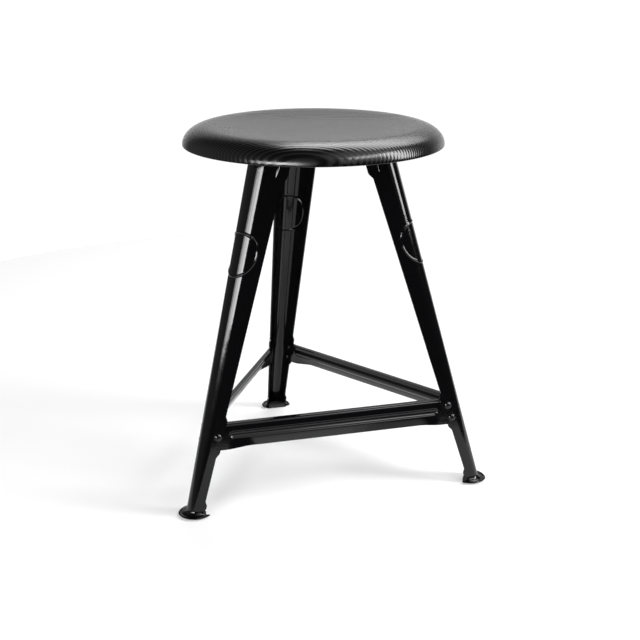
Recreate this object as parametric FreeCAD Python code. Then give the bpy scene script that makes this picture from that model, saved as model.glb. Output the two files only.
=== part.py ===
"""Machinist stool: a round dished wooden seat on three splayed legs of pressed sheet steel.

Each leg is one pressing, a tapered channel with a rounded back that opens towards the stool's axis. It flares
into its own foot at the floor, and has riveting ears on both free edges at the stretchers and at the seat.
Three pressed stretchers with a long swage join the legs, a pressed carrier joins their tops, and the seat is
screwed to the carrier from below. A rubber pad fills each foot.

Millimetres, +Z up. The origin is the centre of the stool's outline on the floor. The back leg points to +Y.
"""

import FreeCAD
import Part
import math
import os

Vec = FreeCAD.Vector
UP = Vec(0, 0, 1)

# Seat
SEAT_DIAMETER = 355.0
SEAT_THICKNESS = 26.0
SEAT_HEIGHT = 500.0
SEAT_CREST_R = 144.0
SEAT_DISH_R = 122.0
DISH_CURVE_R = 2100.0
SEAT_CORNER_R = 3.0

# Leg channel, each pair at the floor and at the top
LEG_AZIMUTHS = {"right": -30.0, "back": 90.0, "left": 210.0}
SIDE_AZIMUTHS = (-90.0, 30.0, 150.0)
SHEET = 2.0
LEG_TOP_GAP = 0.3
APEX_RADIAL = (243.4, 109.0)
APEX_R = (11.9, 23.9)
FLANK_LENGTH = (7.9, 22.7)
FLANK_ANGLE = 60.0
KINK = 9.0
RAMP = 2.0
FOOT_KINK = 0.6
FOOT_RAMP = 5.0

# Flared foot
RIM_BOTTOM = 1.0
RIM_END = 252.5
RIM_ANGLE = 108.0
RIM_WIDER = 1.6
FLARE_R = 6.0
LIP_R = 3.0
LIP_ANGLE = 55.0
FOOT_EAR = 3.4
FOOT_EAR_TOP = 21.0

# Riveting ears for the stretchers and for the carrier
EAR = 3.7
EAR_PLANE = 114.9
TOP_EAR = 5.0
TOP_EAR_LOW = 434.0
TOP_EAR_CORNER = 6.6
TOP_EAR_PLANE = 70.8
TOP_KINK = (10.0, 8.0)
TOP_RAMP = (1.5, 4.5)

# Plain pressed ring on the back of each leg
RING_HEIGHT = 345.5
RING_R = 29.2
RING_WIDTH = 3.6
RING_RISE = 1.0

# Foot pad
PAD_INSET = 0.6
PAD_EDGE_RADIAL = 221.5
PAD_BAR_HALF = 12.6
PAD_TOP = 5.0
PAD_CLEARANCE = 0.2

# Stretcher
BAR_SHEET = 1.8
BAR_FACE = 112.9
BAR_TOP = 122.6
BAR_LEAN_START = 113.2
BAR_LEAN = 1.2
BAR_FOLD_R = 4.0
BAR_FLANGE = 12.5
BAR_FLANGE_HALF = 152.0
BAR_PAST_EDGE = (8.9, 9.3)
BAR_TONGUE_TOP = 121.0
SKIRT_TOP = 101.2
SKIRT_BOTTOM = 92.4
SKIRT_FLARE = 4.0
SKIRT_START = 116.0
SKIRT_END = 154.0
BAR_END_BOTTOM = 88.0
SWAGE_HEIGHT = 107.4
SWAGE_R = 5.3
SWAGE_DEPTH = 2.5
SWAGE_HALF = 149.0
SWAGE_EDGE_R = 0.8

# Carrier under the seat
CARRIER_SHEET = 2.0
CARRIER_HALF_SIDE = 58.5
CARRIER_DEPTH = 17.5
CARRIER_BEND_R = 3.0
CARRIER_LAP = 12.0
CARRIER_HOLE_R = 20.0

# Rivets: along the side and up, seen from outside the stool
RIVETS_RIGHT_END = ((163.1, 115.5), (168.6, 97.6))
RIVETS_LEFT_END = ((-164.8, 106.4),)
CARRIER_RIVET = (54.0, 463.0)
RIVET_HEAD_R = 5.2
RIVET_HEAD_H = 2.3
RIVET_SHANK_R = 2.45
RIVET_HOLE_R = 2.5
RIVET_TAIL_R = 4.0
RIVET_TAIL_H = 1.4

# Wood screws
SCREW_RADIAL = 55.0
SCREW_SHANK_R = 2.15
SCREW_HOLE_R = 2.2
SCREW_HEAD_R = 4.6
SCREW_HEAD_H = 2.4
SCREW_DEPTH = 16.0
SCREW_TIP = 4.0

LEG_TOP = SEAT_HEIGHT - SEAT_THICKNESS
LIP_REACH = (LIP_R + SHEET) * math.sin(math.radians(LIP_ANGLE))
RIM_APEX = APEX_RADIAL[0] - (APEX_RADIAL[0] - APEX_RADIAL[1]) * RIM_BOTTOM / LEG_TOP
RIM_REACH = RIM_END - LIP_REACH - RIM_APEX
AXIS_Y = (SEAT_DIAMETER / 2 - RIM_END) / 2
COS_F = math.cos(math.radians(FLANK_ANGLE))
SIN_F = math.sin(math.radians(FLANK_ANGLE))


def turned(shape, degrees):
    """A copy of the shape turned about the seat's axis."""
    copy = shape.copy()
    copy.rotate(Vec(0, 0, 0), UP, degrees)
    return copy


def along_height(pair, z):
    """A dimension that runs straight from its floor value to its top value."""
    return pair[0] + (pair[1] - pair[0]) * z / LEG_TOP


def flank_plane(z):
    """How far the outer face of a flank is from the seat's axis, square to the stretcher beside it."""
    apex = along_height(APEX_RADIAL, z)
    radius = along_height(APEX_R, z)
    return (apex - radius) * COS_F + radius


def side_points(z, offset, side, ear=0.0, step=0.0, kink=KINK, ramp=RAMP, wrap=0.0):
    """Points along one flank, from the tangent of the rounded back to the free edge.

    offset moves the surface outwards, ear lengthens the flank, and step moves its outer part square to it.
    wrap from 0 to 1 bends the whole outline to the round rim of the foot.
    """
    apex = along_height(APEX_RADIAL, z)
    radius = along_height(APEX_R, z)
    length = along_height(FLANK_LENGTH, z)
    normal = Vec(COS_F, side * SIN_F, 0)
    along = Vec(-SIN_F, side * COS_F, 0)
    tangent = Vec(apex - radius, 0, z) + normal * (radius + offset)
    edge = tangent + along * length
    first = edge - along * (kink + ramp)
    second = edge - along * kink + normal * step
    free = edge + along * ear + normal * step
    straight = [tangent, first, second, free]
    if not wrap:
        return straight
    rim_r = radius + RIM_WIDER
    centre = Vec(apex - rim_r, 0, z)
    bent = []
    for share, point in zip((0.0, 1 / 3, 2 / 3, 1.0), straight):
        angle = math.radians(FLANK_ANGLE + (RIM_ANGLE - FLANK_ANGLE) * share)
        around = centre + Vec(math.cos(angle), side * math.sin(angle), 0) * (rim_r + offset)
        bent.append(point + (around - point) * wrap)
    return bent


def section(z, out=0.0, into=-SHEET, **form):
    """The closed outline of the pressed sheet at one height."""
    wraps = form.pop("wraps", (0.0, 0.0))
    outer = [side_points(z, out, side, wrap=wraps[0], **form) for side in (-1, 1)]
    inner = [side_points(z, into, side, wrap=wraps[1], **form) for side in (-1, 1)]
    apex = along_height(APEX_RADIAL, z)
    back_out = Vec(apex + out, 0, z)
    back_in = Vec(apex + into, 0, z)
    edges = []
    edges += polyline(outer[0][::-1])
    edges.append(Part.Arc(outer[0][0], back_out, outer[1][0]).toShape())
    edges += polyline(outer[1])
    edges += polyline([outer[1][-1], inner[1][-1]])
    edges += polyline(inner[1][::-1])
    edges.append(Part.Arc(inner[1][0], back_in, inner[0][0]).toShape())
    edges += polyline(inner[0])
    edges += polyline([inner[0][-1], outer[0][-1]])
    return Part.Wire(edges)


def polyline(points):
    """Straight edges through the points."""
    return [Part.LineSegment(a, b).toShape() for a, b in zip(points, points[1:])]


def flare(z):
    """How far the outer and inner faces of the foot's flare stand outside the leg's own outer face."""
    rise = RIM_BOTTOM + SHEET + FLARE_R - z
    inner_r = FLARE_R + SHEET
    into = FLARE_R - math.sqrt(inner_r ** 2 - rise ** 2)
    if rise < FLARE_R:
        return FLARE_R - math.sqrt(FLARE_R ** 2 - rise ** 2), into
    return RIM_REACH, into


def foot_sections():
    """Sections from the rim on the floor up to where the free edges are straight again."""
    rim_top = RIM_BOTTOM + SHEET
    flare_top = rim_top + FLARE_R
    heights = [RIM_BOTTOM, rim_top]
    heights += [rim_top + FLARE_R * share for share in (0.03, 0.1, 0.28, 0.58, 1.0)]
    found = []
    for z in heights:
        out, into = flare(z)
        ear = FOOT_EAR * max(0.0, (z - rim_top) / (flare_top - rim_top)) ** 2 * 0.7
        wraps = (out / RIM_REACH, (into + SHEET) / (FLARE_R + SHEET))
        found.append(section(z, out, into, ear=ear, kink=FOOT_KINK, ramp=FOOT_RAMP, wraps=wraps))
    for share, ear in ((0.3, 1.0), (0.6, 0.85), (0.85, 0.4), (1.0, 0.0)):
        z = flare_top + (FOOT_EAR_TOP - flare_top) * share
        found.append(section(z, ear=FOOT_EAR * ear, kink=FOOT_KINK, ramp=FOOT_RAMP))
    return found


def ear_sections():
    """Sections through the riveting ears, which stand upright while the flank leans.

    Each station of the lower ears has its height, the shares of the ear's width and of its uprightness, and
    the width of the flat. They end at the top in a slanting crease.
    """
    stations = (
        (78.0, 0.0, 0.0, 8.2),
        (81.5, 0.7, 0.0, 8.3),
        (85.0, 1.0, 0.0, 8.4),
        (91.5, 1.0, 1.0, 8.6),
        (121.0, 1.0, 1.0, 9.6),
        (127.5, 0.95, 0.75, 6.5),
        (131.0, 0.6, 0.35, 3.0),
        (134.5, 0.0, 0.0, 0.6),
    )
    found = []
    for z, reach, upright, kink in stations:
        step = (EAR_PLANE - flank_plane(z)) * upright
        found.append(section(z, ear=EAR * reach, step=step, kink=kink))
    top = LEG_TOP - LEG_TOP_GAP
    full = TOP_EAR_LOW + TOP_EAR_CORNER
    for z, reach in ((TOP_EAR_LOW, 0.0), ((TOP_EAR_LOW + full) / 2, 0.7), (full, 1.0), (top, 1.0)):
        share = max(0.0, (z - full) / (top - full))
        step = max(0.0, TOP_EAR_PLANE - flank_plane(z))
        kink = TOP_KINK[0] + (TOP_KINK[1] - TOP_KINK[0]) * share
        ramp = TOP_RAMP[0] + (TOP_RAMP[1] - TOP_RAMP[0]) * share
        found.append(section(z, ear=TOP_EAR * reach, step=step, kink=kink, ramp=ramp))
    return found


def along_sheet(distance):
    """How far sideways a point of the sheet is, from its distance round the leg's back at the ring's height."""
    radius = along_height(APEX_R, RING_HEIGHT)
    bend = radius * math.radians(FLANK_ANGLE)
    return radius * SIN_F + (distance - bend) * COS_F


def ring_band(out, into):
    """The pressed ring's footprint on the rounded back, between two depths in the sheet.

    The ring is round on the flat blank, so it is narrower than high once the blank is bent.
    """
    low = section(RING_HEIGHT - 1.3 * RING_R, out, into)
    high = section(RING_HEIGHT + 1.3 * RING_R, out, into)
    slab = Part.makeLoft([low, high], True, True)
    outward = Vec(1, 0, (APEX_RADIAL[0] - APEX_RADIAL[1]) / LEG_TOP)
    outward.normalize()
    upward = outward.cross(Vec(0, -1, 0))
    start = Vec(along_height(APEX_RADIAL, RING_HEIGHT), 0, RING_HEIGHT) - outward * RING_R
    tubes = []
    for radius in (RING_R + RING_WIDTH / 2, RING_R - RING_WIDTH / 2):
        aside = Vec(0, along_sheet(radius), 0)
        oval = Part.Ellipse(start + upward * radius, start + aside, start)
        tubes.append(Part.Face(Part.Wire(oval.toShape())).extrude(outward * 2 * RING_R))
    return slab.common(tubes[0].cut(tubes[1]))


def make_lip():
    """The foot's rim beyond the flare, rolled up at its edge."""
    rim_r = along_height(APEX_R, RIM_BOTTOM) + RIM_WIDER
    start = Vec(rim_r + RIM_REACH, 0, RIM_BOTTOM + SHEET + LIP_R)
    faces = []
    for radius in (LIP_R, LIP_R + SHEET):
        angles = (math.radians(LIP_ANGLE * share) for share in (0.0, 0.5, 1.0))
        faces.append([start + Vec(math.sin(angle), 0, -math.cos(angle)) * radius for angle in angles])
    top, bottom = faces
    overlap = Vec(-1.0, 0, 0)
    edges = [Part.Arc(*top).toShape()]
    edges += polyline([top[2], bottom[2]])
    edges.append(Part.Arc(*bottom[::-1]).toShape())
    edges += polyline([bottom[0], bottom[0] + overlap, top[0] + overlap, top[0]])
    lip = Part.Face(Part.Wire(edges)).revolve(Vec(0, 0, 0), UP, 2 * RIM_ANGLE)
    lip.rotate(Vec(0, 0, 0), UP, -RIM_ANGLE)
    lip.translate(Vec(RIM_APEX - rim_r, 0, 0))
    return lip


def make_leg():
    """One leg pressing, pointing along +X from the seat's axis."""
    leg = Part.makeLoft(foot_sections() + ear_sections(), True, True)
    leg = leg.fuse(make_lip())
    leg = leg.fuse(ring_band(RING_RISE, -SHEET / 2))
    leg = leg.cut(ring_band(RING_RISE - SHEET, -SHEET - 1.0))
    return one_solid(leg)


def one_solid(shape):
    """The single solid that an operation left, without spare seams."""
    shape = shape.removeSplitter()
    if len(shape.Solids) != 1:
        raise ValueError("expected one solid, found %d" % len(shape.Solids))
    return shape.Solids[0]


def pad_outline(z, offset):
    """The foot's outline inside the rim, closed by a straight edge towards the stool's axis."""
    wrap = offset / RIM_REACH
    form = {"kink": FOOT_KINK, "ramp": FOOT_RAMP, "wrap": wrap}
    near, far = (side_points(z, offset, side, **form) for side in (-1, 1))
    near.append(Vec(PAD_EDGE_RADIAL, near[-1].y + 2.5, z))
    far.append(Vec(PAD_EDGE_RADIAL, far[-1].y - 2.5, z))
    edges = polyline(near[::-1])
    back = Vec(along_height(APEX_RADIAL, z) + offset, 0, z)
    edges.append(Part.Arc(near[0], back, far[0]).toShape())
    edges += polyline(far)
    edges += polyline([far[-1], near[-1]])
    return Part.Wire(edges)


def make_pad():
    """The rubber pad: a thin sole under the rim, and a plug inside the channel with a bar across its mouth."""
    lower = pad_outline(0.0, RIM_REACH - PAD_INSET - 0.4)
    upper = pad_outline(RIM_BOTTOM, RIM_REACH - PAD_INSET)
    sole = Part.makeLoft([lower, upper], True, True)
    inside = -SHEET - PAD_CLEARANCE
    levels = []
    for z in (RIM_BOTTOM - 0.5, PAD_TOP):
        near, far = (side_points(z, inside, side, kink=FOOT_KINK, ramp=FOOT_RAMP) for side in (-1, 1))
        mouth = [
            Vec(near[-1].x - 1.0, -PAD_BAR_HALF, z),
            Vec(PAD_EDGE_RADIAL, -PAD_BAR_HALF, z),
            Vec(PAD_EDGE_RADIAL, PAD_BAR_HALF, z),
            Vec(near[-1].x - 1.0, PAD_BAR_HALF, z),
        ]
        back = Vec(along_height(APEX_RADIAL, z) + inside, 0, z)
        edges = polyline([near[-1], near[0]])
        edges.append(Part.Arc(near[0], back, far[0]).toShape())
        edges += polyline([far[0], far[-1]])
        edges += polyline([far[-1]] + mouth[::-1] + [near[-1]])
        levels.append(Part.Wire(edges))
    plug = Part.makeLoft(levels, True, True)
    return one_solid(sole.fuse(plug))


def bar_profile():
    """The stretcher's bent sheet in section: x is the distance from the axis, y is the height."""
    lean_top = BAR_TOP - BAR_FOLD_R + 0.7
    start = Vec(BAR_FACE, SKIRT_TOP, 0)
    knee = Vec(BAR_FACE, BAR_LEAN_START, 0)
    shoulder = Vec(BAR_FACE - BAR_LEAN, lean_top, 0)
    upward = shoulder - knee
    upward.normalize()
    inward = Vec(-upward.y, upward.x, 0)
    centre = shoulder + inward * BAR_FOLD_R
    crown = centre + Vec(0, BAR_FOLD_R, 0)
    middle = centre + (crown + shoulder - centre * 2).normalize() * BAR_FOLD_R
    lip = Vec(BAR_FACE - BAR_FLANGE, crown.y, 0)
    edges = polyline([start, knee, shoulder])
    edges.append(Part.Arc(shoulder, middle, crown).toShape())
    edges += polyline([crown, lip])
    face = Part.Wire(edges).makeOffset2D(BAR_SHEET, 0, True, True, False)
    if face.BoundBox.XMax > BAR_FACE + 0.1:
        face = Part.Wire(edges).makeOffset2D(-BAR_SHEET, 0, True, True, False)
    return face


def to_front(face, x):
    """Stands a section drawn in (distance, height) on the front side of the stool at a place along it."""
    turn = FreeCAD.Matrix(0, 0, 1, x, -1, 0, 0, 0, 0, 1, 0, 0, 0, 0, 0, 1)
    return face.transformGeometry(turn)


def edge_along(z):
    """How far along a side a leg's free edge is, at a height."""
    apex = along_height(APEX_RADIAL, z)
    radius = along_height(APEX_R, z)
    radial = apex - radius + radius * COS_F - SIN_F * along_height(FLANK_LENGTH, z)
    half = radius * SIN_F + COS_F * along_height(FLANK_LENGTH, z)
    return radial * SIN_F - half * COS_F


def make_web_ends():
    """The flat ends of the web, which slip behind the legs' ears."""
    ends = []
    for side in (-1, 1):
        low, high = BAR_END_BOTTOM, BAR_TONGUE_TOP
        outline = [
            Vec(side * SKIRT_END, -BAR_FACE, low),
            Vec(side * (edge_along(low) + BAR_PAST_EDGE[0]), -BAR_FACE, low),
            Vec(side * (edge_along(high) + BAR_PAST_EDGE[1]), -BAR_FACE, high),
            Vec(side * BAR_FLANGE_HALF, -BAR_FACE, high),
            Vec(side * BAR_FLANGE_HALF, -BAR_FACE, SKIRT_TOP),
            Vec(side * SKIRT_END, -BAR_FACE, SKIRT_TOP),
        ]
        face = Part.Face(Part.Wire(polyline(outline + outline[:1])))
        ends.append(face.extrude(Vec(0, BAR_SHEET, 0)))
    return ends


def skirt_section(x):
    """The web below the swage in section: it flares outwards along the middle and is flat at the ends."""
    share = min(1.0, max(0.0, (SKIRT_END - abs(x)) / (SKIRT_END - SKIRT_START)))
    share = share * share * (3 - 2 * share)
    bottom = BAR_END_BOTTOM + (SKIRT_BOTTOM - BAR_END_BOTTOM) * share
    top = Vec(x, -BAR_FACE, SKIRT_TOP)
    slope = Vec(0, -SKIRT_FLARE * share, bottom - SKIRT_TOP)
    inward = Vec(0, -slope.z, slope.y).normalize() * BAR_SHEET
    corners = [top, top + slope, top + slope + inward, top + Vec(0, BAR_SHEET, 0)]
    return Part.Wire(polyline(corners + corners[:1]))


def make_skirt():
    """The flared strip along the bottom of the web."""
    run = SKIRT_END - SKIRT_START
    half = [SKIRT_START + run * share for share in (0.0, 0.17, 0.34, 0.5, 0.66, 0.83, 1.0)]
    stations = [-x for x in reversed(half)] + half
    return Part.makeLoft([skirt_section(x) for x in stations], True, True)


def capsule(radius, half):
    """A round bar with ball ends along the swage's centre line."""
    y = -(BAR_FACE + SWAGE_R - SWAGE_DEPTH)
    start = Vec(-half, y, SWAGE_HEIGHT)
    bar = Part.makeCylinder(radius, 2 * half, start, Vec(1, 0, 0))
    for x in (-half, half):
        bar = bar.fuse(Part.makeSphere(radius, Vec(x, y, SWAGE_HEIGHT)))
    return bar.removeSplitter()


def make_bar():
    """The front stretcher: flange, leaning shoulder, upright web, swage and flat ends."""
    face = bar_profile()
    bar = to_front(face, -BAR_FLANGE_HALF).extrude(Vec(2 * BAR_FLANGE_HALF, 0, 0))
    for end in make_web_ends() + [make_skirt()]:
        bar = bar.fuse(end)
    half = SWAGE_HALF - SWAGE_R
    behind = Part.makeBox(4 * BAR_FACE, BAR_FACE, BAR_TOP, Vec(-2 * BAR_FACE, -BAR_FACE + BAR_SHEET / 2, 0))
    rib = capsule(SWAGE_R + BAR_SHEET, half).common(behind)
    bar = bar.fuse(rib)
    bar = one_solid(bar.cut(capsule(SWAGE_R, half)))
    return soften_swage(bar)


def soften_swage(bar):
    """Rounds the mouth of the swage."""
    mouth = []
    for edge in bar.Edges:
        box = edge.BoundBox
        on_face = abs(box.YMin + BAR_FACE) < 0.01 and abs(box.YMax + BAR_FACE) < 0.01
        near = box.ZMin > SWAGE_HEIGHT - SWAGE_R and box.ZMax < SWAGE_HEIGHT + SWAGE_R
        if on_face and near:
            mouth.append(edge)
    return bar.makeFillet(SWAGE_EDGE_R, mouth)


def rivet(x, z, face, grip, head_r=RIVET_HEAD_R):
    """A round-head rivet through the front side, with its flat tail inside."""
    inside = grip + RIVET_TAIL_H
    ball_r = (head_r ** 2 + RIVET_HEAD_H ** 2) / (2 * RIVET_HEAD_H)
    half_way = head_r / 2
    height = RIVET_HEAD_H - ball_r + math.sqrt(ball_r ** 2 - half_way ** 2)
    crown = Part.Arc(Vec(head_r, 0, 0), Vec(half_way, -height, 0), Vec(0, -RIVET_HEAD_H, 0))
    outline = [Vec(0, -RIVET_HEAD_H, 0), Vec(0, inside, 0), Vec(RIVET_TAIL_R, inside, 0)]
    outline += [Vec(RIVET_TAIL_R, grip, 0), Vec(RIVET_SHANK_R, grip, 0), Vec(RIVET_SHANK_R, 0, 0)]
    outline.append(Vec(head_r, 0, 0))
    profile = Part.Wire([crown.toShape()] + polyline(outline))
    turned_piece = Part.Face(profile).revolve(Vec(0, 0, 0), Vec(0, 1, 0), 360)
    turned_piece.translate(Vec(x, -face, z))
    return turned_piece


def hole(x, z, face):
    """What a rivet hole through the front side takes away."""
    return Part.makeCylinder(RIVET_HOLE_R, 12.0, Vec(x, -face - 5.0, z), Vec(0, 1, 0))


def make_carrier():
    """The carrier: a flat triangular plate with cut corners and a down-turned flange on each long side."""
    face_distance = TOP_EAR_PLANE - SHEET
    bend = face_distance - CARRIER_BEND_R
    low = LEG_TOP - CARRIER_DEPTH
    inner_r = CARRIER_BEND_R - CARRIER_SHEET
    turn = math.sqrt(0.5)
    centre = Vec(bend, -CARRIER_HALF_SIDE, LEG_TOP - CARRIER_BEND_R)
    outward = Vec(1, 0, 0)
    outer = [centre + part * CARRIER_BEND_R for part in (outward, (outward + UP) * turn, UP)]
    inner = [centre + part * inner_r for part in (UP, (outward + UP) * turn, outward)]
    lip = Vec(bend - CARRIER_LAP, -CARRIER_HALF_SIDE, LEG_TOP)
    foot = Vec(face_distance, -CARRIER_HALF_SIDE, low)
    edges = polyline([foot, outer[0]]) + [Part.Arc(*outer).toShape()]
    edges += polyline([outer[2], lip, lip - UP * CARRIER_SHEET, inner[0]]) + [Part.Arc(*inner).toShape()]
    edges += polyline([inner[2], foot - outward * CARRIER_SHEET, foot])
    flange = Part.Face(Part.Wire(edges)).extrude(Vec(0, 2 * CARRIER_HALF_SIDE, 0))
    corners = []
    for azimuth in SIDE_AZIMUTHS:
        for side in (-1, 1):
            point = Vec(bend, side * CARRIER_HALF_SIDE, LEG_TOP - CARRIER_SHEET)
            corners.append(FreeCAD.Rotation(UP, azimuth).multVec(point))
    plate = Part.Face(Part.makePolygon(corners + corners[:1])).extrude(UP * CARRIER_SHEET)
    plate = one_solid(plate.fuse([turned(flange, azimuth) for azimuth in SIDE_AZIMUTHS]))
    cutters = [Part.makeCylinder(CARRIER_HOLE_R, 2 * CARRIER_SHEET, UP * (LEG_TOP - 1.5 * CARRIER_SHEET))]
    for place in screw_places():
        cutters.append(Part.makeCylinder(SCREW_HOLE_R, 2 * CARRIER_SHEET, place - UP * 1.5 * CARRIER_SHEET))
    return one_solid(plate.cut(cutters))


def screw_places():
    """Where the screws pass the top of the carrier."""
    rotations = [FreeCAD.Rotation(UP, azimuth) for azimuth in LEG_AZIMUTHS.values()]
    return [turn.multVec(Vec(SCREW_RADIAL, 0, LEG_TOP)) for turn in rotations]


def make_screw(place):
    """A pan-head wood screw driven up through the carrier."""
    below = place - UP * CARRIER_SHEET
    head = Part.makeCylinder(SCREW_HEAD_R, SCREW_HEAD_H, below - UP * SCREW_HEAD_H)
    head = head.makeFillet(1.2, [e for e in head.Edges if e.BoundBox.ZMax < below.z - SCREW_HEAD_H + 0.01])
    straight = CARRIER_SHEET + SCREW_DEPTH - SCREW_TIP
    shank = Part.makeCylinder(SCREW_SHANK_R, straight, below)
    tip = Part.makeCone(SCREW_SHANK_R, 0.4, SCREW_TIP - 0.2, below + UP * straight)
    slot = Part.makeBox(2 * SCREW_HEAD_R, 1.2, 1.1,
                        below + Vec(-SCREW_HEAD_R, -0.6, -SCREW_HEAD_H))
    return one_solid(head.fuse(shank).fuse(tip).cut(slot))


def make_seat():
    """The seat: a turned disc, slightly dished, with a broad rounded edge."""
    radius = SEAT_DIAMETER / 2
    crest_run = SEAT_CREST_R - SEAT_DISH_R
    slope = math.asin(SEAT_DISH_R / DISH_CURVE_R)
    crest_r = crest_run / math.sin(slope)
    join_z = SEAT_HEIGHT - crest_r * (1 - math.cos(slope))
    centre_z = join_z - DISH_CURVE_R * (1 - math.cos(slope))
    half_dish = Vec(SEAT_DISH_R / 2, 0, 0)
    half_dish.z = centre_z + DISH_CURVE_R - math.sqrt(DISH_CURVE_R ** 2 - half_dish.x ** 2)
    join = Vec(SEAT_DISH_R, 0, join_z)
    half_crest = Vec(SEAT_CREST_R - crest_r * math.sin(slope / 2), 0, 0)
    half_crest.z = SEAT_HEIGHT - crest_r * (1 - math.cos(slope / 2))
    crest = Vec(SEAT_CREST_R, 0, SEAT_HEIGHT)
    edge_z = LEG_TOP + SEAT_CORNER_R
    edge_centre = Vec(SEAT_CREST_R, 0, edge_z)
    widest = Vec(radius, 0, edge_z)
    ellipse = Part.Ellipse(widest, crest, edge_centre)
    round_edge = Part.ArcOfEllipse(ellipse, 0, math.pi / 2).toShape()
    corner_middle = Vec(radius - SEAT_CORNER_R * (1 - math.sqrt(0.5)), 0,
                        edge_z - SEAT_CORNER_R * math.sqrt(0.5))
    under = Vec(radius - SEAT_CORNER_R, 0, LEG_TOP)
    edges = [Part.Arc(Vec(0, 0, centre_z), half_dish, join).toShape()]
    edges.append(Part.Arc(join, half_crest, crest).toShape())
    edges.append(round_edge)
    edges.append(Part.Arc(widest, corner_middle, under).toShape())
    edges += polyline([under, Vec(0, 0, LEG_TOP), Vec(0, 0, centre_z)])
    seat = Part.Face(Part.Wire(Part.__sortEdges__(edges))).revolve(Vec(0, 0, 0), UP, 360)
    for place in screw_places():
        seat = seat.cut(Part.makeCylinder(SCREW_HOLE_R, SCREW_DEPTH + 0.2, place))
    return seat.Solids[0] if seat.Solids else Part.Solid(seat)


def save(name, shape):
    """Moves a finished piece from the seat's axis to the stool's own frame and writes it."""
    placed = shape.copy()
    placed.translate(Vec(0, AXIS_Y, 0))
    if not placed.isValid():
        raise ValueError(name + " is not a valid shape")
    placed.exportStep("parts/" + name + ".step")
    print("%-28s %7.0f mm3 %4d faces" % (name, placed.Volume, len(placed.Faces)))


def main():
    os.makedirs("parts", exist_ok=True)
    bar = make_bar()
    leg = make_leg()
    pad = make_pad()
    carrier = make_carrier()
    bar_grip = SHEET + BAR_SHEET
    carrier_grip = SHEET + CARRIER_SHEET
    side_turns = {"front": 0.0, "right": 120.0, "left": 240.0}
    side_legs = {"front": ("left", "right"), "right": ("right", "back"), "left": ("back", "left")}

    holes = [hole(x, z, EAR_PLANE) for x, z in RIVETS_RIGHT_END + RIVETS_LEFT_END]
    top_x, top_z = CARRIER_RIVET
    top_holes = [hole(x, top_z, TOP_EAR_PLANE) for x in (-top_x, top_x)]

    for one in holes:
        bar = bar.cut(one)
    for name, turn in side_turns.items():
        save("stretcher_" + name, turned(bar, turn))
        for one in top_holes:
            carrier = carrier.cut(turned(one, turn))
        for leg_name, places in zip(side_legs[name], (RIVETS_LEFT_END, RIVETS_RIGHT_END)):
            rivets = [turned(rivet(x, z, EAR_PLANE, bar_grip), turn) for x, z in places]
            save("rivets_" + name + "_at_" + leg_name, Part.Compound(rivets))

    for name, azimuth in LEG_AZIMUTHS.items():
        placed = turned(leg, azimuth)
        for turn in side_turns.values():
            for one in holes + top_holes:
                cutter = turned(one, turn)
                if placed.BoundBox.intersect(cutter.BoundBox):
                    placed = placed.cut(cutter)
        save("leg_" + name, placed.Solids[0])
        save("foot_pad_" + name, turned(pad, azimuth))

    top_rivets = {name: [] for name in LEG_AZIMUTHS}
    for name, turn in side_turns.items():
        for leg_name, x in zip(side_legs[name], (-top_x, top_x)):
            top_rivets[leg_name].append(turned(rivet(x, top_z, TOP_EAR_PLANE, carrier_grip, 4.4), turn))
    for name, rivets in top_rivets.items():
        save("rivets_carrier_at_" + name, Part.Compound(rivets))

    save("seat_carrier", carrier.Solids[0])
    save("seat_screws", Part.Compound([make_screw(place) for place in screw_places()]))
    save("seat", make_seat())


main()
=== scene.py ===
"""A machinist's stool: a black-stained wooden seat on three legs of pressed and enamelled sheet steel.

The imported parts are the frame. Legs, stretchers, their rivets and the seat are dressed with finer pieces that
stand for them. The carrier, its rivets, the screws and the foot pads keep their shape and get their finish.
Metres, +Z up. Lengths of the pieces are given in millimetres, and turned to metres where a mesh is finished.
"""

import math

import bmesh
import bpy
from mathutils import Matrix, Vector


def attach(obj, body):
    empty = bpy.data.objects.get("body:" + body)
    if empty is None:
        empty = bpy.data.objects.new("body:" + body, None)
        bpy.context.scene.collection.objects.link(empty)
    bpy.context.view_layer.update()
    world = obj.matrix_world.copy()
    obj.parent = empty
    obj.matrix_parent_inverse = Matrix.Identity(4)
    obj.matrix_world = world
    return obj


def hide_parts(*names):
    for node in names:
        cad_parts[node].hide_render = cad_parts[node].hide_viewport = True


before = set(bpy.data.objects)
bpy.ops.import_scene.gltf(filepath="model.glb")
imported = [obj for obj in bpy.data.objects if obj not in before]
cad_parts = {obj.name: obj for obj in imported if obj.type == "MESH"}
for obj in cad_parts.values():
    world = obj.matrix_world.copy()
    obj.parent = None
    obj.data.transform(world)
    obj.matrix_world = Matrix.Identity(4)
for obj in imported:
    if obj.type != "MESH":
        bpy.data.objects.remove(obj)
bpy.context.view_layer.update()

MM = 0.001
AXIS_Y = -37.5

# Seat
SEAT_RADIUS = 177.5
SEAT_TOP = 500.0
SEAT_UNDER = 474.0
SEAT_CREST_R = 142.0
SEAT_DISH_R = 122.0
DISH_CURVE_R = 2100.0
SEAT_CORNER_R = 1.0

# Leg channel: at the floor and at the top
LEG_AZIMUTHS = {"right": -30.0, "back": 90.0, "left": 210.0}
SHEET = 2.0
LEG_TOP = 473.7
APEX_RADIAL = (243.4, 109.0)
APEX_R = (11.9, 23.9)
FLANK_LENGTH = (7.9, 22.7)
FLANK_ANGLE = 60.0
LEG_EDGE_R = 0.7

# Flared foot
RIM_TOP = 3.0
RIM_REACH = 5.29
RIM_ANGLE = 108.0
RIM_WIDER = 1.6
FLARE_R = 6.0
LIP_R = 3.0
LIP_ANGLE = 55.0

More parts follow.
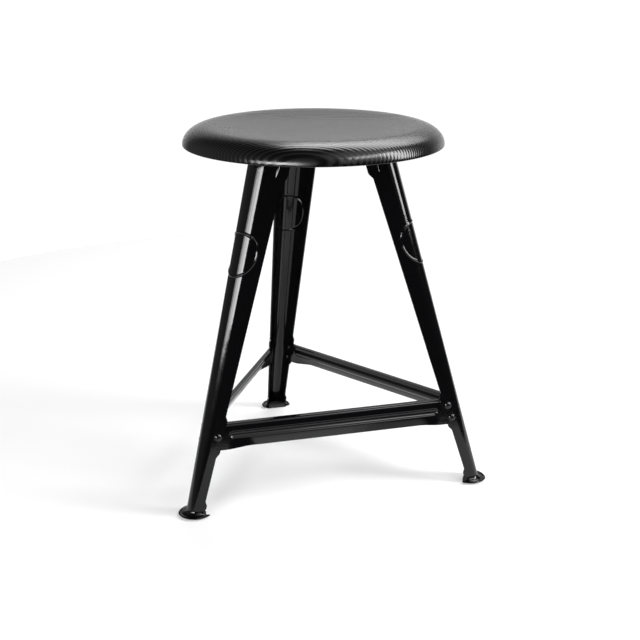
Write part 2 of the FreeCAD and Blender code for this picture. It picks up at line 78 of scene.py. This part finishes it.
# Ears at the foot, at the stretchers and under the seat, as stops of (height, value) up the leg
EAR_REACH = (
    (3.0, 0.0), (12.0, 3.4), (14.0, 3.4), (21.5, 0.0), (78.0, 0.0), (85.5, 3.7), (126.5, 3.7), (135.0, 0.0),
    (433.5, 0.0), (442.0, 5.0),
)
TOP_EAR_PLANE = 70.8

# Widths of a flank's outer part and of the ramp that leads to it, as stops of (height, width) up the leg
FLANK_FLAT = ((21.0, 0.6), (150.0, 9.0), (440.6, 10.0), (LEG_TOP, 8.0))
FLANK_RAMP = ((150.0, 2.0), (440.6, 1.5), (LEG_TOP, 4.5))

# Pressed ring on the back of each leg
RING_HEIGHT = 345.5
RING_R = 29.2
RING_HALF_WIDTH = 2.0
RING_RISE = 1.0

# Stretcher: heights, and half lengths from its middle
SIDE_TURNS = {"front": 0.0, "right": 120.0, "left": 240.0}
SIDE_LEGS = {"front": ("left", "right"), "right": ("right", "back"), "left": ("back", "left")}
BAR_SHEET = 1.8
BAR_LEAN_START = 113.2
BAR_LEAN = 1.2
BAR_SHOULDER = 119.3
BAR_TONGUE_TOP = 121.0
BAR_FOLD_R = 4.0
BAR_FLANGE_LIP = 100.4
BAR_FLANGE_HALF = 152.0
BAR_NOTCH_HALF = 153.5
BAR_TONGUE_START = 155.0
BAR_PAST_EDGE = 9.0
BAR_END_BOTTOM = 88.0
BAR_EDGE_R = 0.6
SKIRT_TOP = 101.2
SKIRT_BOTTOM = 92.4
SKIRT_RISE = (154.0, 116.0)
SKIRT_FLARE = 4.0
SKIRT_SPREAD = (153.0, 112.0)
SKIRT_BEND = 2.5
SWAGE_HEIGHT = 107.4
SWAGE_HALF = 149.0
SWAGE_R = 5.3
SWAGE_DEPTH = 2.5
SWAGE_MOUTH = 0.5

# Rivets: along the side and up, seen from outside the stool
RIVETS_RIGHT_END = ((163.1, 115.5), (168.6, 97.6))
RIVETS_LEFT_END = ((-164.8, 106.4),)
RIVET_HEAD_R = 5.2
RIVET_HEAD_H = 2.3
RIVET_RIM = (0.15, 0.25)
RIVET_SHANK_R = 2.45
RIVET_TAIL_R = 4.0
RIVET_TAIL_H = 1.4
RIVET_TAIL_EDGE = 0.3

# Studio, in metres and degrees. Soft boxes: azimuth, elevation, width, height, radiance
CAMERA_PLACE = (-0.4493, -1.6190, 0.7560)
CAMERA_AIM = (0.2648, 0.9133, -0.3095)
CAMERA_LENS = 68.39
FLOOR_R = 1.05
FLOOR_CENTRE = (0.10, 0.33, 0.0)
BOX_TARGET = (0.0, AXIS_Y * MM, 0.25)
BOX_DISTANCE = 2.6
SOFT_BOXES = {
    "left_box_outer": (-153.0, 12.6, 0.40, 0.65, 7.0),
    "left_box_middle": (-139.5, 12.6, 0.77, 0.65, 15.5),
    "left_box_inner": (-124.5, 12.6, 0.59, 0.65, 22.0),
    "right_box": (-24.5, 28.0, 0.68, 1.95, 15.0),
    "high_fill": (-55.0, 44.0, 1.0, 0.6, 7.5),
    "overhead": (51.0, 55.0, 1.9, 1.5, 5.5),
    "front_card": (-77.0, 23.0, 0.55, 1.1, 1.0),
}

# Glow of the surroundings: its direction, the cosines where it starts and is full, and its strength
WALL_GLOW = ((0.438, 0.899, 0.0), 0.72, 0.90, 1.0)
SIDE_GLOW = ((-0.985, 0.174, 0.0), 0.30, 1.0, 0.20)
CEILING_GLOW = ((0.55, -0.45, 0.70), 0.72, 1.0, 1.2)
WALL_FADE_HEIGHT = 0.22
WALL_FADE_TO = 0.5
ROOM_GLOW = 0.05


def linear(code):
    """An sRGB hex colour as the linear RGBA that a shader takes."""
    parts = [int(code[i : i + 2], 16) / 255 for i in (1, 3, 5)]
    return [c / 12.92 if c <= 0.04045 else ((c + 0.055) / 1.055) ** 2.4 for c in parts] + [1.0]


def add_node(tree, kind, inputs, **settings):
    """A node with its settings. Its inputs, by name or by place, are linked from sockets or set to values."""
    node = tree.nodes.new(kind)
    for name, value in settings.items():
        setattr(node, name, value)
    for key, value in inputs.items():
        if isinstance(value, bpy.types.NodeSocket):
            tree.links.new(value, node.inputs[key])
        else:
            node.inputs[key].default_value = value
    return node


def new_finish(name):
    """An empty material: itself, its node tree and the surface socket of its output."""
    material = bpy.data.materials.new(name)
    material.use_nodes = True
    tree = material.node_tree
    tree.nodes.clear()
    return material, tree, tree.nodes.new("ShaderNodeOutputMaterial").inputs["Surface"]


def smooth(value, low, high):
    """0 at low, 1 at high, with a soft start and a soft stop."""
    share = min(1.0, max(0.0, (value - low) / (high - low)))
    return share * share * (3 - 2 * share)


def between(z, stops, soft=False):
    """The value at a place, from stops of (place, value)."""
    if z <= stops[0][0]:
        return stops[0][1]
    for (low, start), (high, end) in zip(stops, stops[1:]):
        if z < high:
            share = smooth(z, low, high) if soft else (z - low) / (high - low)
            return start + (end - start) * share
    return stops[-1][1]


def spread(*stops):
    """Values from stop to stop: each stop after the first is (value, steps that lead to it)."""
    values = [stops[0]]
    for value, steps in stops[1:]:
        start = values[-1]
        values += [start + (value - start) * (k + 1) / steps for k in range(steps)]
    return values


# Finishes


def stove_enamel():
    """Black stove enamel, sprayed and baked on sheet steel: deep gloss with faintly rippled reflections."""
    material, tree, surface = new_finish("black stove enamel")
    place = add_node(tree, "ShaderNodeTexCoord", {}).outputs["Object"]
    # The ripple is about 3 mm across, and the slow wave of the coat about 26 mm.
    ripple, wave = (
        add_node(tree, "ShaderNodeTexNoise", {"Vector": place, "Scale": scale, "Detail": 1.0}).outputs["Fac"]
        for scale in (330.0, 38.0)
    )
    relief = add_node(tree, "ShaderNodeBump", {"Strength": 0.05, "Distance": 0.0006, "Height": ripple})
    relief = add_node(tree, "ShaderNodeBump", {
        "Strength": 0.04, "Distance": 0.003, "Height": wave, "Normal": relief.outputs["Normal"],
    })
    haze = add_node(tree, "ShaderNodeMapRange", {"Value": wave, "To Min": 0.06, "To Max": 0.12})
    coat = add_node(tree, "ShaderNodeBsdfPrincipled", {
        "Base Color": linear("#040405"), "Roughness": haze.outputs["Result"], "IOR": 1.4,
        "Normal": relief.outputs["Normal"],
    })
    tree.links.new(coat.outputs["BSDF"], surface)
    return material


def stained_beech():
    """Beech, turned, stained black and lacquered satin: the growth rings show as soft relief and sheen."""
    material, tree, surface = new_finish("black-stained beech")
    place = add_node(tree, "ShaderNodeTexCoord", {}).outputs["Object"]
    # The pith runs 90 mm under the top, along the grain. A wave of scale 105 has a ring every 3 mm.
    board = add_node(tree, "ShaderNodeMapping", {
        "Vector": place, "Location": (0.0, -0.055, -0.41),
        "Rotation": (0.0, math.radians(2.0), math.radians(20.0)),
    }).outputs["Vector"]
    rings = add_node(
        tree, "ShaderNodeTexWave",
        {"Vector": board, "Scale": 105.0, "Distortion": 5.0, "Detail": 2.0, "Detail Scale": 0.06},
        wave_type="RINGS", rings_direction="X",
    ).outputs["Fac"]
    # Vessel lines are about 0.7 mm across and 8 mm long, coarser than the real ones, which wouldn't show.
    fibre_place = add_node(tree, "ShaderNodeMapping", {"Vector": board, "Scale": (120.0, 1500.0, 1500.0)})
    fibre = add_node(
        tree, "ShaderNodeTexNoise", {"Vector": fibre_place.outputs["Vector"], "Scale": 1.0, "Detail": 3.0}
    ).outputs["Fac"]
    # Early wood takes a little less stain and lacquer than the dark, hard late wood between it.
    early = add_node(tree, "ShaderNodeMapRange", {"Value": rings, "From Min": 0.45, "From Max": 0.95})
    tone = add_node(
        tree, "ShaderNodeMix", {0: early.outputs["Result"], 6: linear("#030303"), 7: linear("#0f0e0e")},
        data_type="RGBA",
    )
    sheen = add_node(tree, "ShaderNodeMapRange", {"Value": rings, "To Min": 0.15, "To Max": 0.28})
    relief = add_node(tree, "ShaderNodeBump", {"Strength": 0.28, "Distance": 0.0004, "Height": rings})
    relief = add_node(tree, "ShaderNodeBump", {
        "Strength": 0.07, "Distance": 0.0003, "Height": fibre, "Normal": relief.outputs["Normal"],
    })
    lacquer = add_node(tree, "ShaderNodeBsdfPrincipled", {
        "Base Color": tone.outputs[2], "Roughness": sheen.outputs["Result"], "IOR": 1.5,
        "Normal": relief.outputs["Normal"],
    })
    tree.links.new(lacquer.outputs["BSDF"], surface)
    return material


def moulded_rubber():
    """Black rubber, moulded: matte, with a fine grain."""
    material, tree, surface = new_finish("moulded rubber")
    place = add_node(tree, "ShaderNodeTexCoord", {}).outputs["Object"]
    # The grain of the mould is about 0.6 mm across.
    grain = add_node(tree, "ShaderNodeTexNoise", {"Vector": place, "Scale": 1600.0, "Detail": 2.0})
    relief = add_node(
        tree, "ShaderNodeBump", {"Strength": 0.3, "Distance": 0.0002, "Height": grain.outputs["Fac"]}
    )
    rubber = add_node(tree, "ShaderNodeBsdfPrincipled", {
        "Base Color": linear("#1b1b1c"), "Roughness": 0.75, "IOR": 1.5, "Normal": relief.outputs["Normal"],
    })
    tree.links.new(rubber.outputs["BSDF"], surface)
    return material


def zinc_plate():
    """Steel, zinc plated in a bath: dull, slightly blotched silver."""
    material, tree, surface = new_finish("zinc-plated steel")
    place = add_node(tree, "ShaderNodeTexCoord", {}).outputs["Object"]
    # The blotches are about 1 mm across.
    blotch = add_node(tree, "ShaderNodeTexNoise", {"Vector": place, "Scale": 900.0, "Detail": 3.0})
    rough = add_node(
        tree, "ShaderNodeMapRange", {"Value": blotch.outputs["Fac"], "To Min": 0.28, "To Max": 0.5}
    )
    metal = add_node(tree, "ShaderNodeBsdfPrincipled", {
        "Base Color": linear("#b9bbbd"), "Metallic": 1.0, "Roughness": rough.outputs["Result"],
    })
    tree.links.new(metal.outputs["BSDF"], surface)
    return material


ENAMEL = stove_enamel()
WOOD = stained_beech()
RUBBER = moulded_rubber()
ZINC = zinc_plate()


# Pieces


def finish_piece(name, bm, turn, material, node):
    """Turns a mesh made at the seat's axis in millimetres into a placed piece that stands for a node."""
    bmesh.ops.rotate(bm, verts=bm.verts, cent=(0, 0, 0), matrix=Matrix.Rotation(math.radians(turn), 3, "Z"))
    bmesh.ops.translate(bm, verts=bm.verts, vec=(0, AXIS_Y, 0))
    bmesh.ops.scale(bm, verts=bm.verts, vec=(MM, MM, MM))
    mesh = bpy.data.meshes.new(name)
    bm.to_mesh(mesh)
    bm.free()
    mesh.shade_smooth()
    piece = bpy.data.objects.new(name, mesh)
    bpy.context.scene.collection.objects.link(piece)
    mesh.materials.append(material)
    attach(piece, "root")
    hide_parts(node)
    return piece


def refinish(node, material):
    """A frame node keeps its form and gets its finish."""
    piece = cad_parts[node]
    piece.data.materials.clear()
    piece.data.materials.append(material)
    weld = piece.modifiers.new("weld", "WELD")
    weld.merge_threshold = 0.01 * MM


def sheet_metal(piece, thickness, edge):
    """Gives a pressed surface its sheet thickness inwards, and rounds the cut edges."""
    wall = piece.modifiers.new("sheet", "SOLIDIFY")
    wall.thickness = thickness * MM
    wall.offset = -1.0
    wall.use_even_offset = True
    ease = piece.modifiers.new("eased edges", "BEVEL")
    ease.width = edge * MM
    ease.segments = 3
    ease.limit_method = "ANGLE"
    ease.angle_limit = math.radians(50)
    ease.harden_normals = True


def along_height(pair, z):
    """A dimension that runs straight from its floor value to its top value."""
    return pair[0] + (pair[1] - pair[0]) * z / SEAT_UNDER


def flank_plane(z):
    """How far the outer face of a flank is from the seat's axis, square to the stretcher beside it."""
    apex = along_height(APEX_RADIAL, z)
    radius = along_height(APEX_R, z)
    return (apex - radius) / 2 + radius


FLANK_LEAN = math.atan2(flank_plane(0.0) - flank_plane(SEAT_UNDER), SEAT_UNDER)
BACK_SLANT = math.hypot(1.0, (APEX_RADIAL[0] - APEX_RADIAL[1]) / SEAT_UNDER)


# Legs


def foot_rows():
    """Rows of (stand-out, height) on the foot's upper face, from the end of the rolled lip up to the wall."""
    rows = []
    for k in range(8):
        roll = math.radians(LIP_ANGLE) * (1 - k / 8)
        rows.append((RIM_REACH + LIP_R * math.sin(roll), RIM_TOP + LIP_R * (1 - math.cos(roll))))
    for k in range(17):
        bend = math.pi / 2 * k / 16
        rows.append((RIM_REACH * (1 - math.sin(bend)), RIM_TOP + FLARE_R * (1 - math.cos(bend))))
    return rows


# Rows of the mesh crowd together at the ears' ends and at the ring.
WALL_ROWS = spread(
    RIM_TOP + FLARE_R, (22.0, 16), (76.0, 6), (93.0, 24), (120.0, 8), (137.0, 24), (311.0, 14), (380.0, 100),
    (432.0, 6), (443.0, 16), (LEG_TOP, 8),
)
LEG_ROWS = foot_rows() + [(0.0, z) for z in WALL_ROWS[1:]]
ARC_STEPS = 60
# Shares of a flank's width between which it rises to the top ear's plane.
RAMP_SHARES = (0.4, 0.6)
FLANK_STOPS = spread(0.0, (RAMP_SHARES[0], 10), (RAMP_SHARES[1], 6), (1.0, 8))


def leg_surface(column, row):
    """A point on the outer face of a leg that points along +X, from its column round the leg and its row."""
    out, z = LEG_ROWS[row]
    # The flare turns the channel's outline into the round rim, and the rolled lip keeps the rim's section.
    wrap = min(1.0, out / RIM_REACH)
    base = RIM_TOP - SHEET if out > RIM_REACH else z
    apex, radius, length = (along_height(pair, base) for pair in (APEX_RADIAL, APEX_R, FLANK_LENGTH))
    turn = math.radians(FLANK_ANGLE)
    reach = between(z, EAR_REACH, soft=True) if out == 0.0 or z > RIM_TOP + LIP_R else 0.0
    place = column - (len(FLANK_STOPS) - 1) - ARC_STEPS / 2
    side = -1 if place < 0 else 1
    past_arc = int(abs(place) - ARC_STEPS / 2)
    centre = Vector((apex - radius, 0, z))
    if past_arc <= 0:
        angle = turn * place / (ARC_STEPS / 2)
        normal = Vector((math.cos(angle), math.sin(angle), 0))
        point = centre + normal * (radius + out)
        around = radius * angle
    else:
        # A flank runs straight to its free edge. Under the seat its outer part is lifted to the ear's plane.
        share = FLANK_STOPS[past_arc]
        normal = Vector((math.cos(turn), side * math.sin(turn), 0))
        along = Vector((-math.sin(turn), side * math.cos(turn), 0))
        flat = between(z, FLANK_FLAT)
        ramp = length - flat - between(z, FLANK_RAMP)
        low, high = RAMP_SHARES
        run = between(share, ((0.0, 0.0), (low, ramp), (high, length - flat), (1.0, length + reach)))
        lift = max(0.0, TOP_EAR_PLANE - flank_plane(z)) * smooth(share, low, high)
        point = centre + normal * (radius + out + lift) + along * run
        around = side * (radius * turn + run)
        angle = side * (turn + (math.radians(RIM_ANGLE) - turn) * run / (length + reach))
    rim_r = radius + RIM_WIDER
    rim = Vector((apex - rim_r, 0, z)) + Vector((math.cos(angle), math.sin(angle), 0)) * (rim_r + out)
    point = point.lerp(rim, wrap)
    off = abs(math.hypot(around, (z - RING_HEIGHT) * BACK_SLANT) - RING_R)
    if off < RING_HALF_WIDTH:
        point += normal * RING_RISE * (1 + math.cos(math.pi * off / RING_HALF_WIDTH)) / 2
    return point


def press_leg(name, azimuth):
    """One leg: a sheet bent round its back, flared at the foot, eared at the joints, with a pressed ring."""
    columns = ARC_STEPS + 2 * (len(FLANK_STOPS) - 1)
    rows = len(LEG_ROWS) - 1
    bm = bmesh.new()
    bmesh.ops.create_grid(bm, x_segments=columns, y_segments=rows, size=1.0)
    for vert in bm.verts:
        column = round((vert.co.x + 1) / 2 * columns)
        row = round((vert.co.y + 1) / 2 * rows)
        vert.co = leg_surface(column, row)
    node = "leg_" + name
    piece = finish_piece("pressed_" + node, bm, azimuth, ENAMEL, node)
    sheet_metal(piece, SHEET, LEG_EDGE_R)


# Stretchers

# Past the flange's ends the fold is cut away, and the tongue rises a little over its shoulder.
FOLD_COLUMNS = 14
BAR_TOP_STOPS = ((BAR_FLANGE_HALF, BAR_SHOULDER), (BAR_NOTCH_HALF, BAR_TONGUE_TOP))
BAR_STATIONS = spread(
    0.0, (96.0, 12), (138.0, 14), (BAR_FLANGE_HALF, 30),
    (BAR_NOTCH_HALF, 3), (BAR_TONGUE_START, 2), (180.0, 6),
)


def bar_path(x):
    """The outer face of the stretcher in section, from the bottom of the web round to the lip of the flange.

    The web leans with the legs' flanks, so that its ends lie flat behind the ears.
    """
    bottom = BAR_END_BOTTOM + (SKIRT_BOTTOM - BAR_END_BOTTOM) * smooth(abs(x), *SKIRT_RISE)
    slope = SKIRT_FLARE * smooth(abs(x), *SKIRT_SPREAD) / (SKIRT_TOP - bottom)
    path = []
    for z in spread(bottom, (SKIRT_TOP, 10), (BAR_LEAN_START, 32)):
        below = SKIRT_TOP - z
        path.append((flank_plane(z) - SHEET + slope * (below + math.hypot(below, SKIRT_BEND)) / 2, z))
    face = path[-1][0]
    top = between(abs(x), BAR_TOP_STOPS, soft=True)
    for k in range(1, 5):
        path.append((face - BAR_LEAN * k / 4, BAR_LEAN_START + (top - BAR_LEAN_START) * k / 4))
    tilt = math.atan2(BAR_LEAN, BAR_SHOULDER - BAR_LEAN_START)
    centre_in = path[-1][0] - BAR_FOLD_R * math.cos(tilt)
    centre_up = BAR_SHOULDER - BAR_FOLD_R * math.sin(tilt)
    for k in range(1, 11):
        turn = tilt + (math.pi / 2 - tilt) * k / 10
        path.append((centre_in + BAR_FOLD_R * math.cos(turn), centre_up + BAR_FOLD_R * math.sin(turn)))
    for k in range(1, 5):
        path.append((centre_in - (centre_in - BAR_FLANGE_LIP) * k / 4, centre_up + BAR_FOLD_R))
    return path


def edge_along(z):
    """How far along its side a leg's free edge is at a height."""
    apex, radius, length = (along_height(pair, z) for pair in (APEX_RADIAL, APEX_R, FLANK_LENGTH))
    sine = math.sin(math.radians(FLANK_ANGLE))
    return (apex - radius / 2 - sine * length) * sine - (radius * sine + length / 2) / 2


def tongue_along(x, z):
    """Where a station really is: the tongue ends at a steady distance past the leg's slanting edge."""
    if abs(x) <= BAR_TONGUE_START:
        return x
    share = (abs(x) - BAR_TONGUE_START) / (BAR_STATIONS[-1] - BAR_TONGUE_START)
    end = edge_along(z) + BAR_PAST_EDGE
    return math.copysign(BAR_TONGUE_START + (end - BAR_TONGUE_START) * share, x)


def swage_sink(x, z):
    """How far the swage presses the web inwards at a point."""
    beyond = max(0.0, abs(x) - (SWAGE_HALF - SWAGE_R))
    off = math.hypot(beyond, z - SWAGE_HEIGHT)
    if off >= SWAGE_R:
        return 0.0
    sink = math.sqrt(SWAGE_R**2 - off**2) - (SWAGE_R - SWAGE_DEPTH)
    return (sink + math.hypot(sink, SWAGE_MOUTH)) / 2


def press_bar(name, turn):
    """One stretcher: the folded section drawn along it, swaged, with flat ends behind the legs' ears."""
    stations = [-x for x in BAR_STATIONS[:0:-1]] + BAR_STATIONS
    rows = len(stations) - 1
    columns = len(bar_path(0.0)) - 1
    bm = bmesh.new()
    bmesh.ops.create_grid(bm, x_segments=columns, y_segments=rows, size=1.0)
    spare = []
    for vert in bm.verts:
        column = round((vert.co.x + 1) / 2 * columns)
        x = stations[round((vert.co.y + 1) / 2 * rows)]
        away, z = bar_path(x)[column]
        if abs(x) > BAR_FLANGE_HALF and column > columns - FOLD_COLUMNS:
            spare.append(vert)
        x = tongue_along(x, z)
        vert.co = Vector((x, swage_sink(x, z) - away, z))
    bmesh.ops.delete(bm, geom=spare, context="VERTS")
    bmesh.ops.reverse_faces(bm, faces=bm.faces)
    node = "stretcher_" + name
    piece = finish_piece("pressed_" + node, bm, turn, ENAMEL, node)
    sheet_metal(piece, BAR_SHEET, BAR_EDGE_R)


# Rivets and seat


def spin_profile(bm, points, steps):
    """A closed turned form about +Z from (radius, height) points."""
    verts = [bm.verts.new((radius, 0, height)) for radius, height in points]
    edges = [bm.edges.new(pair) for pair in zip(verts, verts[1:])]
    bmesh.ops.spin(
        bm, geom=verts + edges, cent=(0, 0, 0), axis=(0, 0, 1), angle=math.tau, steps=steps, use_merge=True
    )
    bmesh.ops.remove_doubles(bm, verts=bm.verts, dist=0.0005)
    bmesh.ops.recalc_face_normals(bm, faces=bm.faces)


def rivet_outline():
    """One rivet in half section: a shallow dome with a small rim, a shank and a flat tail."""
    ball_r = (RIVET_HEAD_R**2 + RIVET_HEAD_H**2) / (2 * RIVET_HEAD_H)
    grip = SHEET + BAR_SHEET
    tail = grip + RIVET_TAIL_H
    outline = [(0.0, RIVET_HEAD_H)]
    for k in range(1, 13):
        radius = (RIVET_HEAD_R - RIVET_RIM[0]) * k / 12
        outline.append((radius, RIVET_HEAD_H - ball_r + math.sqrt(ball_r**2 - radius**2)))
    outline += [(RIVET_HEAD_R, RIVET_RIM[1]), (RIVET_HEAD_R, 0.0)]
    outline += [(RIVET_SHANK_R, 0.0), (RIVET_SHANK_R, -grip)]
    outline += [(RIVET_TAIL_R, -grip), (RIVET_TAIL_R, RIVET_TAIL_EDGE - tail)]
    return outline + [(RIVET_TAIL_R - RIVET_TAIL_EDGE, -tail), (0.0, -tail)]


def drive_rivets(name, turn, places):
    """Round-head rivets through the ear and the stretcher's end, square to the leaning flank."""
    bm = bmesh.new()
    for x, z in places:
        one = bmesh.new()
        spin_profile(one, rivet_outline(), 40)
        turned = Matrix.Rotation(math.pi / 2 - FLANK_LEAN, 3, "X")
        bmesh.ops.rotate(one, verts=one.verts, cent=(0, 0, 0), matrix=turned)
        bmesh.ops.translate(one, verts=one.verts, vec=(x, -flank_plane(z), z))
        held = bpy.data.meshes.new("rivet")
        one.to_mesh(held)
        one.free()
        bm.from_mesh(held)
        bpy.data.meshes.remove(held)
    finish_piece("round_" + name, bm, turn, ENAMEL, name)


def turn_seat():
    """The seat: a broad dish, a rounded crest and edge, a flat underside."""
    slope = math.asin(SEAT_DISH_R / DISH_CURVE_R)
    crest_r = (SEAT_CREST_R - SEAT_DISH_R) / math.sin(slope)
    join = SEAT_TOP - crest_r * (1 - math.cos(slope))
    centre = join - DISH_CURVE_R * (1 - math.cos(slope))
    points = []
    for k in range(13):
        radius = SEAT_DISH_R * k / 12
        points.append((radius, centre + DISH_CURVE_R - math.sqrt(DISH_CURVE_R**2 - radius**2)))
    for k in range(1, 7):
        radius = SEAT_DISH_R + (SEAT_CREST_R - SEAT_DISH_R) * k / 6
        points.append((radius, SEAT_TOP - crest_r + math.sqrt(crest_r**2 - (SEAT_CREST_R - radius) ** 2)))
    edge_z = SEAT_UNDER + SEAT_CORNER_R
    wide = SEAT_RADIUS - SEAT_CREST_R
    for k in range(1, 25):
        turn = math.pi / 2 * k / 24
        points.append((SEAT_CREST_R + wide * math.sin(turn), edge_z + (SEAT_TOP - edge_z) * math.cos(turn)))
    corner = SEAT_RADIUS - SEAT_CORNER_R
    for k in range(1, 6):
        turn = math.pi / 2 * k / 5
        points.append((corner + SEAT_CORNER_R * math.cos(turn), edge_z - SEAT_CORNER_R * math.sin(turn)))
    points += [(radius, SEAT_UNDER) for radius in (150.0, 80.0, 0.0)]
    bm = bmesh.new()
    spin_profile(bm, points, 192)
    finish_piece("turned_seat", bm, 0.0, WOOD, "seat")


for leg_name, leg_azimuth in LEG_AZIMUTHS.items():
    press_leg(leg_name, leg_azimuth)
    refinish("foot_pad_" + leg_name, RUBBER)
    refinish("rivets_carrier_at_" + leg_name, ENAMEL)

for side_name, side_turn in SIDE_TURNS.items():
    press_bar(side_name, side_turn)
    for at_leg, rivet_places in zip(SIDE_LEGS[side_name], (RIVETS_LEFT_END, RIVETS_RIGHT_END)):
        drive_rivets("rivets_" + side_name + "_at_" + at_leg, side_turn, rivet_places)

turn_seat()
refinish("seat_carrier", ENAMEL)
refinish("seat_screws", ZINC)


# Studio


def lay_floor():
    """A plain pale floor: a round sheet of studio paper, faintly lit from below."""
    bm = bmesh.new()
    bmesh.ops.create_circle(bm, cap_ends=True, segments=96, radius=FLOOR_R)
    bmesh.ops.translate(bm, verts=bm.verts, vec=FLOOR_CENTRE)
    mesh = bpy.data.meshes.new("floor")
    bm.to_mesh(mesh)
    bm.free()
    floor = bpy.data.objects.new("floor", mesh)
    bpy.context.scene.collection.objects.link(floor)
    material, tree, surface = new_finish("studio paper")
    paper = add_node(tree, "ShaderNodeBsdfPrincipled", {
        "Base Color": linear("#c8c8c8"), "Roughness": 0.8, "Specular IOR Level": 0.0,
        "Emission Color": linear("#ffffff"), "Emission Strength": 0.30,
    })
    tree.links.new(paper.outputs["BSDF"], surface)
    mesh.materials.append(material)


def hang_light(name, azimuth, elevation, width, height, radiance):
    """A soft box round the stool that faces the middle of it."""
    a, e = math.radians(azimuth), math.radians(elevation)
    away = Vector((math.cos(a) * math.cos(e), math.sin(a) * math.cos(e), math.sin(e)))
    lamp = bpy.data.lights.new(name, "AREA")
    lamp.shape = "RECTANGLE"
    lamp.size, lamp.size_y = width, height
    lamp.energy = radiance * math.pi * width * height
    holder = bpy.data.objects.new(name, lamp)
    bpy.context.scene.collection.objects.link(holder)
    holder.location = Vector(BOX_TARGET) + away * BOX_DISTANCE
    holder.rotation_mode = "QUATERNION"
    holder.rotation_quaternion = (-away).to_track_quat("-Z", "Y")


def glow_patch(tree, where, toward, low, high, strength):
    """Light of the surroundings that grows towards one direction."""
    near = add_node(tree, "ShaderNodeVectorMath", {0: where, 1: toward}, operation="DOT_PRODUCT")
    patch = add_node(
        tree, "ShaderNodeMapRange",
        {"Value": near.outputs["Value"], "From Min": low, "From Max": high, "To Max": strength},
        interpolation_type="SMOOTHSTEP",
    )
    return patch.outputs["Result"]


def paint_surroundings():
    """Studio surroundings: a white wall low behind the stool, a dim room, some ceiling at the front right."""
    world = bpy.data.worlds.new("studio")
    bpy.context.scene.world = world
    world.use_nodes = True
    tree = world.node_tree
    tree.nodes.clear()
    where = add_node(tree, "ShaderNodeTexCoord", {}).outputs["Generated"]
    up = add_node(tree, "ShaderNodeSeparateXYZ", {"Vector": where}).outputs["Z"]
    fade = add_node(
        tree, "ShaderNodeMapRange",
        {"Value": up, "From Max": WALL_FADE_HEIGHT, "To Min": 1.0, "To Max": WALL_FADE_TO},
    )
    wall = glow_patch(tree, where, *WALL_GLOW)
    total = add_node(tree, "ShaderNodeMath", {0: wall, 1: fade.outputs["Result"]}, operation="MULTIPLY")
    for glow in (glow_patch(tree, where, *SIDE_GLOW), glow_patch(tree, where, *CEILING_GLOW), ROOM_GLOW):
        total = add_node(tree, "ShaderNodeMath", {0: total.outputs["Value"], 1: glow}, operation="ADD")
    light = add_node(
        tree, "ShaderNodeBackground", {"Color": (1.0, 1.0, 1.0, 1.0), "Strength": total.outputs["Value"]}
    )
    out = tree.nodes.new("ShaderNodeOutputWorld")
    tree.links.new(light.outputs["Background"], out.inputs["Surface"])


def set_camera():
    """The photograph's view: from the front, a little left, and from above the seat."""
    lens = bpy.data.cameras.new("camera")
    lens.lens = CAMERA_LENS
    lens.sensor_width = 36.0
    camera = bpy.data.objects.new("camera", lens)
    bpy.context.scene.collection.objects.link(camera)
    camera.location = CAMERA_PLACE
    camera.rotation_mode = "QUATERNION"
    camera.rotation_quaternion = Vector(CAMERA_AIM).to_track_quat("-Z", "Y")
    bpy.context.scene.camera = camera


bpy.context.scene.view_settings.view_transform = "Standard"
lay_floor()
paint_surroundings()
set_camera()
for box_name, box_values in SOFT_BOXES.items():
    hang_light(box_name, *box_values)
